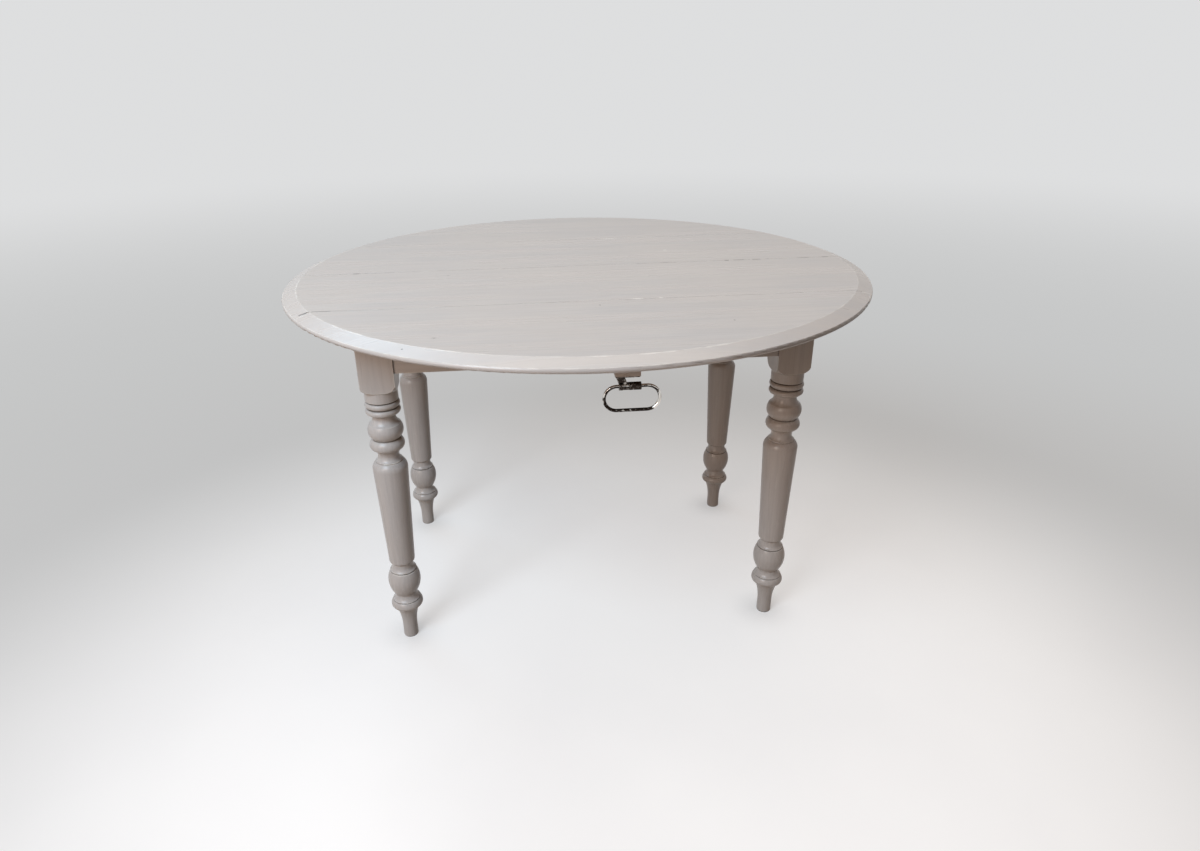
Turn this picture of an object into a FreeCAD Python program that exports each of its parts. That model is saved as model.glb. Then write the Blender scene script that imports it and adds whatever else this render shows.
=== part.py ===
"""A round drop-leaf table that extends on wooden runners.

The top is two halves that pull apart along Y, and each half carries a drop leaf on a rule joint.
The rear half is the front half turned by half a turn, as the two halves of such a table are.
X runs along the seams, Y from the front leaf to the rear leaf and Z up, in millimetres.
The origin is on the floor under the centre of the closed top.
"""
import FreeCAD, Part
import math
import os
import Sketcher
from FreeCAD import Placement, Rotation, Vector

doc = FreeCAD.newDocument("ExtendingRoundTable")

driving_sizes = {
    # The round top: bevelled above, with a small rounded nose below the bevel.
    "top_diameter": 1200,
    "table_height": 752,
    "top_thickness": 19,
    "bevel_width": 28,
    "bevel_drop": 9.5,
    "nose_radius": 5.5,
    "split_gap": 0.8,
    # The rule joints: hinge line from the split, square step, quarter round and its clearances.
    "hinge_offset": 275,
    "rule_step": 3.5,
    "rule_radius": 13,
    "rule_clearance": 0.5,
    "seam_gap": 0.6,
    # The tongues that line the two halves up.
    "tongue_width": 26,
    "tongue_thickness": 8,
    "tongue_socket_depth": 15,
    "tongue_reach": 12,
    "tongue_clearance": 0.4,
    # The legs: square block above, turned below, inside the hanging leaf.
    "leg_inset": 200,
    "leaf_clearance": 5,
    "block_width": 66,
    "block_height": 147,
    "pommel_height": 12,
    "pommel_radius": 14,
    # The aprons, their tenons and corner blocks.
    "apron_height": 108,
    "apron_thickness": 22,
    "apron_reveal": 4,
    "tenon_length": 25,
    "tenon_thickness": 10,
    "tenon_shoulder": 12,
    "corner_block_thickness": 25,
    "corner_block_rise": 5,
    "corner_block_gap": 0.5,
    # The wooden buttons that hold the top down.
    "button_length": 30,
    "button_reach": 32,
    "button_height": 18,
    "button_tongue": 8,
    "button_slot_clearance": 0.3,
    # The extension runners.
    "runner_width": 25,
    "runner_height": 50,
    "runner_setback": 28,
    "runner_lane_gap": 1,
    "runner_end_gap": 5,
    "runner_relief": 1,
    "dovetail_neck": 14,
    "dovetail_head": 20,
    "dovetail_length": 8,
    "dovetail_clearance": 0.4,
    # The rule-joint hinges.
    "hinge_from_leg": 70,
    "hinge_length": 50,
    "hinge_thickness": 2,
    "hinge_fixed_width": 26,
    "hinge_leaf_width": 50,
    "knuckle_radius": 2.5,
    "knuckle_clearance": 0.5,
    "middle_knuckle": 20,
    "knuckle_gap": 0.3,
    "pin_radius": 1.25,
    "running_clearance": 0.08,
    # Screws: in the hinges and brackets, in the buttons and in the runners.
    "plate_screw_head": 3.2,
    "plate_screw_head_height": 1.2,
    "screw_bite": 12,
    "wood_screw_shank": 2,
    "wood_screw_head": 4.5,
    "wood_screw_head_height": 3,
    "runner_screw_sink": 15,
    # The leaf prop: an arm on a bolt in the apron, with its seat under the leaf.
    "prop_offset": 31,
    "prop_width": 40,
    "prop_side_clearance": 0.5,
    "prop_pivot_inset": 5,
    "prop_pivot_rise": 20,
    "prop_eye_radius": 9,
    "prop_setback": 55,
    "prop_seat_length": 45,
    "prop_foot_length": 30,
    "prop_end_depth": 26.5,
    "prop_seat_gap": 0.3,
    "prop_notch_headroom": 7,
    "bolt_radius": 2.5,
    "bolt_bite": 25,
    # The ring pull under the prop's end.
    "bracket_margin": 1,
    "bracket_thickness": 2,
    "bracket_length": 26,
    "bracket_web_width": 14,
    "bracket_web_thickness": 3,
    "bracket_web_lean": 7,
    "ring_setback": 15,
    "ring_drop": 21.2,
    "barrel_radius": 6.5,
    "barrel_length": 35,
    "barrel_window": 9,
    "ring_wire_radius": 2.75,
    "ring_bar": 48,
    "ring_height": 46.5,
    "ring_side_play": 3,
    "ear_clearance": 0.5,
    # The lock hooks under the split.
    "hook_offset": 150,
    "hook_pivot_setback": 35,
    "hook_width": 14,
    "hook_thickness": 2.5,
    "hook_hang": 0.3,
    "hook_mouth_clearance": 0.9,
    "hook_tip": 9,
    "hook_screw_radius": 2.5,
    "hook_screw_head": 5,
    "hook_screw_head_height": 2,
    # How far a cut runs past the wood that it cuts.
    "cut_overrun": 5,
}

sheet = doc.addObject("Spreadsheet::Sheet", "Sizes")
for row, (alias, number) in enumerate(driving_sizes.items(), start=1):
    sheet.set(f"A{row}", alias)
    sheet.set(f"B{row}", str(number))
    sheet.setAlias(f"B{row}", alias)
doc.recompute()


class Size:
    """A value worked out from the sheet, kept with the formula that gives it."""

    def __init__(self, value, formula):
        self.value = value
        self.formula = formula

    @staticmethod
    def of(number):
        if isinstance(number, Size):
            return number
        return Size(float(number), f"({float(number)!r})")

    def combined(self, sign, other, value):
        return Size(value, f"({self.formula} {sign} {other.formula})")

    def __add__(self, other):
        other = Size.of(other)
        return self.combined("+", other, self.value + other.value)

    def __sub__(self, other):
        other = Size.of(other)
        return self.combined("-", other, self.value - other.value)

    def __mul__(self, other):
        other = Size.of(other)
        return self.combined("*", other, self.value * other.value)

    def __truediv__(self, other):
        other = Size.of(other)
        return self.combined("/", other, self.value / other.value)

    def __radd__(self, other):
        return Size.of(other) + self

    def __rsub__(self, other):
        return Size.of(other) - self

    def __rmul__(self, other):
        return Size.of(other) * self

    def __neg__(self):
        return Size.of(0) - self


def root(size):
    return Size(math.sqrt(size.value), f"sqrt({size.formula})")


class Sizes:
    """The cells of the sheet, by their aliases."""

    def __getattr__(self, alias):
        return Size(float(sheet.get(alias)), f"Sizes.{alias}")


S = Sizes()

# Heights and places that several pieces share.
top_radius = S.top_diameter / 2
underside = S.table_height - S.top_thickness
above_top = S.table_height + S.cut_overrun
below_top = underside - S.cut_overrun
past_rim = top_radius + S.cut_overrun
pin_height = S.table_height - S.rule_step - S.rule_radius
cove_radius = S.rule_radius + S.rule_clearance
half_split = S.split_gap / 2

block_face = S.hinge_offset - S.leaf_clearance
leg_x = top_radius - S.leg_inset
leg_y = block_face - S.block_width / 2
block_inner_x = leg_x - S.block_width / 2
block_inner_y = leg_y - S.block_width / 2
block_bottom = underside - S.block_height

long_apron_outer = block_face - S.apron_reveal
long_apron_inner = long_apron_outer - S.apron_thickness
side_apron_outer = leg_x + S.block_width / 2 - S.apron_reveal
side_apron_inner = side_apron_outer - S.apron_thickness
apron_bottom = underside - S.apron_height
tenon_bottom = apron_bottom + S.tenon_shoulder
tenon_top = underside - S.tenon_shoulder
tenon_inset = (S.apron_thickness - S.tenon_thickness) / 2

prop_left = S.prop_offset - S.prop_width / 2
prop_right = S.prop_offset + S.prop_width / 2
prop_pivot_y = long_apron_outer - S.prop_pivot_inset
prop_pivot_z = apron_bottom + S.prop_pivot_rise
prop_end = top_radius - S.prop_setback
prop_seat_height = underside - S.prop_seat_gap
prop_foot_height = prop_seat_height - S.prop_end_depth
notch_left = prop_left - S.prop_side_clearance
notch_right = prop_right + S.prop_side_clearance

hinge_place = leg_x - S.hinge_from_leg
hinge_places = [-hinge_place, Size.of(0), hinge_place]
half_hinge = S.hinge_length / 2
half_middle = S.middle_knuckle / 2

# Places along the width of the top, as shares of the half width named beside them.
tongue_shares = [-0.7, 0, 0.7]
button_share = 0.45
side_button_share = 0.43
runner_screw_shares = [0.25, 0.8]
# Screws in a hinge: along it as a share of half its length, across as shares of its plates' widths.
hinge_screw_share = 0.68
fixed_screw_share = 0.6
leaf_screw_shares = [(-1, 0.5), (1, 0.5), (0, 0.82)]
# Screws in the ring's bracket, as shares of the bracket's length.
bracket_screw_inset_share = 0.3
bracket_screw_spread_share = 0.28

half_turn = Placement(Vector(0, 0, 0), Rotation(Vector(0, 0, 1), 180))
upright = Rotation()


def new_body(label, turned=False, pieces=False):
    """A body of one piece or, with pieces, of several loose copies of one piece."""
    body = doc.addObject("PartDesign::Body", label)
    body.Label = label
    body.AllowCompound = pieces
    if turned:
        body.Placement = half_turn
    return body


def new_sketch(body, role, offset=0):
    """A sketch on one of the body's own origin planes, moved along that plane's normal."""
    offset = Size.of(offset)
    plane = next(feature for feature in body.Origin.OriginFeatures if feature.Role == role)
    sketch = body.newObject("Sketcher::SketchObject", f"{body.Name}_sketch")
    sketch.AttachmentSupport = (plane, [""])
    sketch.MapMode = "FlatFace"
    sketch.AttachmentOffset = Placement(Vector(0, 0, offset.value), upright)
    sketch.setExpression("AttachmentOffset.Base.z", offset.formula)
    return sketch


def tie(sketch, kind, name, size, *places):
    """A constraint that the sheet drives."""
    constraint = Sketcher.Constraint(kind, *places, size.value)
    constraint.Name = name
    sketch.addConstraint(constraint)
    sketch.setExpression(f"Constraints.{name}", size.formula)


def outline(sketch, points):
    """A closed outline through points (across, up) or (across, up, radius).

    A radius bends the edge from that point to the next: to the left if it is positive.
    """
    first = sketch.GeometryCount
    corners = [(Size.of(point[0]), Size.of(point[1])) for point in points]
    bends = [Size.of(point[2]) if len(point) > 2 else None for point in points]
    starts = [Vector(across.value, up.value, 0) for across, up in corners]
    ends = starts[1:] + starts[:1]
    edges = []
    # The number of each edge's vertex at its start and end along the outline.
    vertices = []
    for start, end, bend in zip(starts, ends, bends):
        if bend is None:
            edges.append(Part.LineSegment(start, end))
            vertices.append((1, 2))
            continue
        chord = end - start
        to_left = Vector(-chord.y, chord.x, 0).normalize() * math.copysign(1, bend.value)
        depth = math.sqrt(bend.value ** 2 - chord.Length ** 2 / 4)
        centre = (start + end) / 2 + to_left * depth
        circle = Part.Circle(centre, Vector(0, 0, 1), abs(bend.value))
        arc_ends = [start, end] if bend.value > 0 else [end, start]
        angles = [math.atan2(point.y - centre.y, point.x - centre.x) for point in arc_ends]
        edges.append(Part.ArcOfCircle(circle, *angles))
        vertices.append((1, 2) if bend.value > 0 else (2, 1))
    sketch.addGeometry(edges, False)
    joins = []
    for index, (_, last_vertex) in enumerate(vertices):
        following = (index + 1) % len(vertices)
        joins.append(Sketcher.Constraint(
            "Coincident", first + index, last_vertex, first + following, vertices[following][0]))
    sketch.addConstraint(joins)
    for index, (across, up) in enumerate(corners):
        place = (-1, 1, first + index, vertices[index][0])
        tie(sketch, "DistanceX", f"across_{first + index}", across, *place)
        tie(sketch, "DistanceY", f"up_{first + index}", up, *place)
        if bends[index] is not None:
            bend = bends[index] if bends[index].value > 0 else -bends[index]
            tie(sketch, "Radius", f"radius_{first + index}", bend, first + index)


def rectangle(sketch, low, high):
    outline(sketch, [low, (high[0], low[1]), high, (low[0], high[1])])


def circles(sketch, centres, radius):
    for across, up in centres:
        across = Size.of(across)
        up = Size.of(up)
        centre = Vector(across.value, up.value, 0)
        index = sketch.addGeometry(Part.Circle(centre, Vector(0, 0, 1), radius.value), False)
        tie(sketch, "DistanceX", f"across_{index}", across, -1, 1, index, 3)
        tie(sketch, "DistanceY", f"up_{index}", up, -1, 1, index, 3)
        tie(sketch, "Radius", f"radius_{index}", radius, index)


def axis_line(sketch, height):
    """A construction line along the sketch's own across direction, for turning about."""
    start = Vector(0, height.value, 0)
    end = Vector(1, height.value, 0)
    index = sketch.addGeometry(Part.LineSegment(start, end), True)
    sketch.addConstraint(Sketcher.Constraint("Horizontal", index))
    tie(sketch, "DistanceY", f"up_{index}", height, -1, 1, index, 1)


def pad(body, sketch, length, both_ways=False):
    feature = body.newObject("PartDesign::Pad", f"{body.Name}_pad")
    feature.Profile = sketch
    if both_ways:
        feature.SideType = "Symmetric"
    feature.setExpression("Length", Size.of(length).formula)
    return feature


def pocket(body, sketch, depth=None, along_normal=False):
    """A cut against the sketch's normal, along it, or right through when it has no depth."""
    feature = body.newObject("PartDesign::Pocket", f"{body.Name}_pocket")
    feature.Profile = sketch
    if depth is None:
        feature.SideType = "Symmetric"
        feature.Type = "ThroughAll"
    else:
        feature.Reversed = along_normal
        feature.setExpression("Length", Size.of(depth).formula)
    return feature


def turn(body, sketch, axis="V_Axis", kind="Revolution"):
    feature = body.newObject(f"PartDesign::{kind}", f"{body.Name}_{kind.lower()}")
    feature.Profile = sketch
    feature.ReferenceAxis = (sketch, [axis])
    feature.Angle = 360
    return feature


def place_at(body, across, along, turned):
    """Stand a body at a place in its own half of the table."""
    sign = -1 if turned else 1
    body.Placement = Placement(
        Vector(sign * across.value, sign * along.value, 0),
        half_turn.Rotation if turned else upright)
    body.setExpression("Placement.Base.x", (sign * across).formula)
    body.setExpression("Placement.Base.y", (sign * along).formula)


def round_disc(body):
    """The whole round top with its bevelled rim, from which the boards are cut."""
    sketch = new_sketch(body, "XZ_Plane")
    nose_rise = S.top_thickness - S.bevel_drop - S.nose_radius
    nose_out = root(S.nose_radius * S.nose_radius - nose_rise * nose_rise)
    outline(sketch, [
        (0, underside),
        (top_radius - S.nose_radius, underside, S.nose_radius),
        (top_radius - S.nose_radius + nose_out, S.table_height - S.bevel_drop),
        (top_radius - S.bevel_width, S.table_height),
        (0, S.table_height),
    ])
    turn(body, sketch)


def from_below(body, corners, depth):
    """Recesses let up into the underside, given by their low and high corners."""
    sketch = new_sketch(body, "XY_Plane", underside)
    for low, high in corners:
        rectangle(sketch, low, high)
    pocket(body, sketch, depth, along_normal=True)


def pilot_holes(body, places, radius):
    sketch = new_sketch(body, "XY_Plane", underside)
    circles(sketch, places, radius)
    pocket(body, sketch, S.screw_bite, along_normal=True)


def screws(label, turned, places, head_bottom, head, head_height, shank, tip):
    """Screws driven upwards: heads from head_bottom, shanks up to tip."""
    body = new_body(label, turned, pieces=True)
    heads = new_sketch(body, "XY_Plane", head_bottom)
    circles(heads, places, head)
    pad(body, heads, head_height)
    shanks = new_sketch(body, "XY_Plane", head_bottom)
    circles(shanks, places, shank)
    pad(body, shanks, tip - head_bottom)


# Where the screws go in each half, in the front half's own directions.
fixed_screw_places = [
    (place + side * half_hinge * hinge_screw_share,
     -(S.hinge_offset - S.hinge_fixed_width * fixed_screw_share))
    for place in hinge_places for side in (-1, 1)]
leaf_screw_places = [
    (place + side * half_hinge * hinge_screw_share,
     -(S.hinge_offset + S.hinge_leaf_width * share))
    for place in hinge_places for side, share in leaf_screw_shares]
button_places = [
    (side * leg_x * button_share, -(long_apron_inner - S.button_reach / 2)) for side in (-1, 1)]
side_button_places = [
    (side * (side_apron_inner - S.button_reach / 2), -leg_y * side_button_share)
    for side in (-1, 1)]
hook_places = [(side * S.hook_offset, -S.hook_pivot_setback) for side in (-1, 1)]

# The runners' lanes, from the outer face of the outermost one inwards.
lane_step = S.runner_width + S.runner_lane_gap
outer_lane = block_inner_x - S.runner_setback
middle_lane = outer_lane - lane_step
inner_lane = middle_lane - lane_step
groove_depth = S.dovetail_length - S.runner_lane_gap + S.dovetail_clearance
runner_bottom = underside - S.runner_height
runner_end = long_apron_inner - S.runner_end_gap


def lane_solid_centre(side, outermost):
    """The middle of a fixed runner's wood behind its groove."""
    solid = (S.runner_width - groove_depth) / 2
    if outermost:
        return side * (outer_lane - solid)
    return side * (inner_lane - S.runner_width + solid)


runner_screw_places = [
    (lane_solid_centre(side, side < 0), -long_apron_inner * share)
    for side in (-1, 1) for share in runner_screw_shares]


def fixed_top(label, turned, socket_clearance):
    """One half of the fixed top: quarter-round edge outside, split edge inside."""
    body = new_body(label, turned)
    round_disc(body)
    waste = new_sketch(body, "YZ_Plane")
    outline(waste, [
        (-S.hinge_offset, above_top),
        (-S.hinge_offset, S.table_height - S.rule_step, S.rule_radius),
        (-S.hinge_offset - S.rule_radius, pin_height),
        (-S.hinge_offset - S.rule_radius, below_top),
        (-past_rim, below_top),
        (-past_rim, above_top),
    ])
    rectangle(waste, (-half_split, below_top), (past_rim, above_top))
    pocket(body, waste)

    end = half_hinge + S.knuckle_gap
    groove = S.knuckle_radius + S.knuckle_clearance
    fixed_edge = S.hinge_offset - S.hinge_fixed_width
    from_below(body, [
        ((place - end, -S.hinge_offset), (place + end, -fixed_edge)) for place in hinge_places
    ], S.hinge_thickness)
    from_below(body, [
        ((place - end, -S.hinge_offset - groove), (place + end, -S.hinge_offset + groove))
        for place in hinge_places
    ], pin_height - underside + groove)
    from_below(body, [
        ((place - end, -S.hinge_offset - S.rule_radius - S.cut_overrun),
         (place + end, -S.hinge_offset)) for place in hinge_places
    ], S.hinge_thickness + S.knuckle_gap)
    pilot_holes(body, fixed_screw_places + button_places + side_button_places
                + runner_screw_places, S.wood_screw_shank)
    pilot_holes(body, hook_places, S.hook_screw_radius)

    sockets = new_sketch(body, "XZ_Plane")
    tongue_outlines(sockets, socket_clearance)
    pocket(body, sockets, S.tongue_socket_depth + half_split, along_normal=True)


def tongue_outlines(sketch, clearance):
    middle = underside + S.top_thickness / 2
    half_width = S.tongue_width / 2 + clearance
    half_thickness = S.tongue_thickness / 2 + clearance
    for share in tongue_shares:
        place = top_radius * share
        rectangle(sketch, (place - half_width, middle - half_thickness),
                  (place + half_width, middle + half_thickness))


def alignment_tongues():
    """Hardwood tongues glued into the front half's split edge."""
    body = new_body("alignment_tongues", pieces=True)
    sketch = new_sketch(body, "XZ_Plane", -S.tongue_reach)
    tongue_outlines(sketch, Size.of(0))
    pad(body, sketch, S.tongue_reach + half_split + S.tongue_socket_depth)


def leaf(label, turned):
    """A drop leaf: the top's segment outside the hinge line, coved along its straight edge."""
    body = new_body(label, turned)
    round_disc(body)
    lip = S.hinge_offset + S.seam_gap
    waste = new_sketch(body, "YZ_Plane")
    outline(waste, [
        (-lip, above_top),
        (-lip, pin_height + root(cove_radius * cove_radius - S.seam_gap * S.seam_gap), cove_radius),
        (-S.hinge_offset - cove_radius, pin_height),
        (-S.hinge_offset - cove_radius, below_top),
        (past_rim, below_top),
        (past_rim, above_top),
    ])
    pocket(body, waste)
    end = half_hinge + S.knuckle_gap
    from_below(body, [
        ((place - end, -S.hinge_offset - S.hinge_leaf_width), (place + end, -S.hinge_offset))
        for place in hinge_places
    ], S.hinge_thickness)
    pilot_holes(body, leaf_screw_places, S.wood_screw_shank)


def knuckles(body, spans, bore):
    """Rolled knuckles along the hinge line over the given spans, with their bore."""
    sketch = new_sketch(body, "XZ_Plane", S.hinge_offset)
    for low, high in spans:
        rectangle(sketch, (low, pin_height), (high, pin_height + S.knuckle_radius))
    axis_line(sketch, pin_height)
    turn(body, sketch, "Axis0")
    hole = new_sketch(body, "XZ_Plane", S.hinge_offset)
    for place in hinge_places:
        rectangle(hole, (place - half_hinge - S.cut_overrun, pin_height),
                  (place + half_hinge + S.cut_overrun, pin_height + bore))
    axis_line(hole, pin_height)
    turn(body, hole, "Axis0", "Groove")


def screw_seats(body, places, bottom):
    """Holes through a plate for the shanks, sunk for the heads from below."""
    shanks = new_sketch(body, "XY_Plane", bottom)
    circles(shanks, places, S.wood_screw_shank)
    pocket(body, shanks, S.screw_bite, along_normal=True)
    heads = new_sketch(body, "XY_Plane", bottom)
    circles(heads, places, S.plate_screw_head)
    pocket(body, heads, S.plate_screw_head_height, along_normal=True)


def hinge_fixed_plates(label, turned):
    body = new_body(label, turned, pieces=True)
    outer = -S.hinge_offset
    inner = outer + S.hinge_fixed_width
    clear = outer + S.knuckle_radius + S.knuckle_clearance
    notch = half_middle + S.knuckle_gap
    sketch = new_sketch(body, "XY_Plane", underside)
    spans = []
    for place in hinge_places:
        outline(sketch, [
            (place - half_hinge, outer),
            (place - notch, outer),
            (place - notch, clear),
            (place + notch, clear),
            (place + notch, outer),
            (place + half_hinge, outer),
            (place + half_hinge, inner),
            (place - half_hinge, inner),
        ])
        spans.append((place - half_hinge, place - notch))
        spans.append((place + notch, place + half_hinge))
    pad(body, sketch, S.hinge_thickness)
    knuckles(body, spans, S.pin_radius)
    screw_seats(body, fixed_screw_places, underside)


def hinge_leaf_plates(label, turned):
    body = new_body(label, turned, pieces=True)
    inner = -S.hinge_offset
    outer = inner - S.hinge_leaf_width
    clear = inner - S.knuckle_radius - S.knuckle_clearance
    sketch = new_sketch(body, "XY_Plane", underside)
    spans = []
    for place in hinge_places:
        outline(sketch, [
            (place - half_hinge, outer),
            (place + half_hinge, outer),
            (place + half_hinge, clear),
            (place + half_middle, clear),
            (place + half_middle, inner),
            (place - half_middle, inner),
            (place - half_middle, clear),
            (place - half_hinge, clear),
        ])
        spans.append((place - half_middle, place + half_middle))
    pad(body, sketch, S.hinge_thickness)
    knuckles(body, spans, S.pin_radius + S.running_clearance)
    screw_seats(body, leaf_screw_places, underside)


def hinge_pins(label, turned):
    body = new_body(label, turned, pieces=True)
    sketch = new_sketch(body, "XZ_Plane", S.hinge_offset)
    for place in hinge_places:
        rectangle(sketch, (place - half_hinge, pin_height),
                  (place + half_hinge, pin_height + S.pin_radius))
    axis_line(sketch, pin_height)
    turn(body, sketch, "Axis0")


# The turned leg, from the floor to the block: height as a share of the turned length, radius as
# a share of half the block, and the edge up to the next row. A "line" is straight, a "top" arc
# stands upright at its upper end and a "bottom" arc at its lower end.
leg_turning_shares = [
    (0.000, 0.45, "line"),
    (0.004, 0.48, "line"),
    (0.051, 0.475, "bottom"),
    (0.131, 0.74, "line"),
    (0.135, 0.79, "top"),
    (0.150, 1.02, "bottom"),
    (0.166, 0.90, "line"),
    (0.168, 0.85, "line"),
    (0.171, 0.88, "top"),
    (0.191, 0.68, "line"),
    (0.196, 0.70, "top"),
    (0.254, 1.03, "bottom"),
    (0.292, 0.86, "line"),
    (0.294, 0.79, "line"),
    (0.298, 0.835, "top"),
    (0.316, 0.67, "line"),
    (0.325, 0.67, "line"),
    (0.328, 0.69, "top"),
    (0.340, 0.81, "line"),
    (0.712, 1.06, "bottom"),
    (0.737, 0.85, "line"),
    (0.739, 0.80, "line"),
    (0.742, 0.81, "top"),
    (0.760, 0.63, "bottom"),
    (0.780, 0.76, "line"),
    (0.783, 0.84, "top"),
    (0.801, 1.04, "bottom"),
    (0.822, 0.86, "line"),
    (0.824, 0.80, "line"),
    (0.827, 0.85, "top"),
    (0.854, 1.055, "bottom"),
    (0.877, 0.94, "top"),
    (0.903, 0.68, "line"),
    (0.911, 0.68, "line"),
    (0.914, 0.86, "top"),
    (0.926, 1.035, "bottom"),
    (0.936, 0.90, "line"),
    (0.937, 0.86, "line"),
    (0.939, 0.90, "top"),
    (0.950, 1.03, "bottom"),
    (0.960, 0.90, "line"),
    (0.962, 0.85, "line"),
    (0.964, 0.97, "line"),
]


def turned_outline():
    """The leg's outline from its axis at the floor round to its axis inside the block."""
    points = [(Size.of(0), Size.of(0))]
    rows = [(block_bottom * height, S.block_width / 2 * radius, edge)
            for height, radius, edge in leg_turning_shares]
    last_radius = rows[-1][1]
    inside_block = block_bottom + S.pommel_height
    for (height, radius, edge), (next_height, next_radius, _) in zip(
            rows, rows[1:] + [(inside_block, last_radius, "line")]):
        if edge == "line":
            points.append((radius, height))
            continue
        rise = next_height - height
        growth = next_radius - radius
        bend = (growth * growth + rise * rise) / (2 * growth)
        points.append((radius, height, bend if edge == "top" else -bend))
    points.append((last_radius, inside_block))
    points.append((Size.of(0), inside_block))
    return points


def leg(label, side, turned):
    """A turned leg whose block takes the tenons of two aprons; side is -1 left, 1 right."""
    body = new_body(label)
    place_at(body, side * leg_x, -leg_y, turned)
    half_block = S.block_width / 2
    turning = new_sketch(body, "XZ_Plane")
    outline(turning, turned_outline())
    turn(body, turning)
    block = new_sketch(body, "XY_Plane", block_bottom)
    rectangle(block, (-half_block, -half_block), (half_block, half_block))
    pad(body, block, S.block_height)

    past_corner = S.block_width
    pommel = new_sketch(body, "XZ_Plane")
    outline(pommel, [
        (half_block, block_bottom, S.pommel_radius),
        (half_block + S.pommel_height, block_bottom + S.pommel_height),
        (past_corner, block_bottom + S.pommel_height),
        (past_corner, block_bottom - S.pommel_height),
        (half_block, block_bottom - S.pommel_height),
    ])
    turn(body, pommel, kind="Groove")

    tenon_side = S.tenon_thickness / 2
    long_middle = leg_y - long_apron_outer + S.apron_thickness / 2
    long_mortise = new_sketch(body, "YZ_Plane", -side * half_block)
    rectangle(long_mortise, (long_middle - tenon_side, tenon_bottom),
              (long_middle + tenon_side, tenon_top))
    pocket(body, long_mortise, S.tenon_length, along_normal=side > 0)
    side_middle = side * (side_apron_outer - S.apron_thickness / 2 - leg_x)
    side_mortise = new_sketch(body, "XZ_Plane", -half_block)
    rectangle(side_mortise, (side_middle - tenon_side, tenon_bottom),
              (side_middle + tenon_side, tenon_top))
    pocket(body, side_mortise, S.tenon_length, along_normal=True)


button_bottom = underside - S.button_height


def long_apron(label, turned):
    """The apron under the hinge line, notched for the leaf prop."""
    body = new_body(label, turned)
    notch_top = prop_pivot_z + S.prop_eye_radius + S.prop_notch_headroom
    board = new_sketch(body, "XZ_Plane", long_apron_inner)
    outline(board, [
        (-block_inner_x, apron_bottom),
        (notch_left, apron_bottom),
        (notch_left, notch_top),
        (notch_right, notch_top),
        (notch_right, apron_bottom),
        (block_inner_x, apron_bottom),
        (block_inner_x, underside),
        (-block_inner_x, underside),
    ])
    pad(body, board, S.apron_thickness)
    tenons = new_sketch(body, "XZ_Plane", long_apron_inner + tenon_inset)
    for side in (-1, 1):
        rectangle(tenons, (side * block_inner_x, tenon_bottom),
                  (side * (block_inner_x + S.tenon_length), tenon_top))
    pad(body, tenons, S.tenon_thickness)
    bolt_hole = new_sketch(body, "YZ_Plane", notch_left - S.bolt_bite)
    circles(bolt_hole, [(-prop_pivot_y, prop_pivot_z)], S.bolt_radius)
    pocket(body, bolt_hole, notch_right - notch_left + 2 * S.bolt_bite, along_normal=True)
    slots = new_sketch(body, "XZ_Plane", long_apron_inner)
    for place, _ in button_places:
        button_slot(slots, place)
    pocket(body, slots, S.button_tongue + S.button_slot_clearance, along_normal=True)


def button_slot(sketch, place):
    half = S.button_length / 2 + S.button_slot_clearance
    rectangle(sketch, (place - half, button_bottom - S.button_slot_clearance),
              (place + half, button_bottom + S.button_tongue + S.button_slot_clearance))


def side_apron(label, side, turned):
    """A short apron from the leg to the split."""
    body = new_body(label, turned)
    left_face = side_apron_inner if side > 0 else -side_apron_outer
    board = new_sketch(body, "YZ_Plane", left_face)
    rectangle(board, (-block_inner_y, apron_bottom), (-half_split, underside))
    pad(body, board, S.apron_thickness)
    tenon = new_sketch(body, "YZ_Plane", left_face + tenon_inset)
    rectangle(tenon, (-block_inner_y - S.tenon_length, tenon_bottom), (-block_inner_y, tenon_top))
    pad(body, tenon, S.tenon_thickness)
    slot = new_sketch(body, "YZ_Plane", side * side_apron_inner)
    button_slot(slot, side_button_places[0][1])
    pocket(body, slot, S.button_tongue + S.button_slot_clearance, along_normal=side > 0)


def corner_blocks(label, turned):
    """Glued braces across the inner corners, below the runners."""
    body = new_body(label, turned, pieces=True)
    along_long = block_inner_x - (long_apron_inner - block_inner_y) - S.corner_block_gap
    along_side = block_inner_y - (side_apron_inner - block_inner_x) - S.corner_block_gap
    spread = S.corner_block_thickness * root(Size.of(2))
    bottom = apron_bottom + S.corner_block_rise
    sketch = new_sketch(body, "XY_Plane", bottom)
    for side in (-1, 1):
        outline(sketch, [
            (side * along_long, -long_apron_inner),
            (side * side_apron_inner, -along_side),
            (side * side_apron_inner, -(along_side - spread)),
            (side * (along_long - spread), -long_apron_inner),
        ])
    pad(body, sketch, runner_bottom - S.corner_block_rise - bottom)


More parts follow.
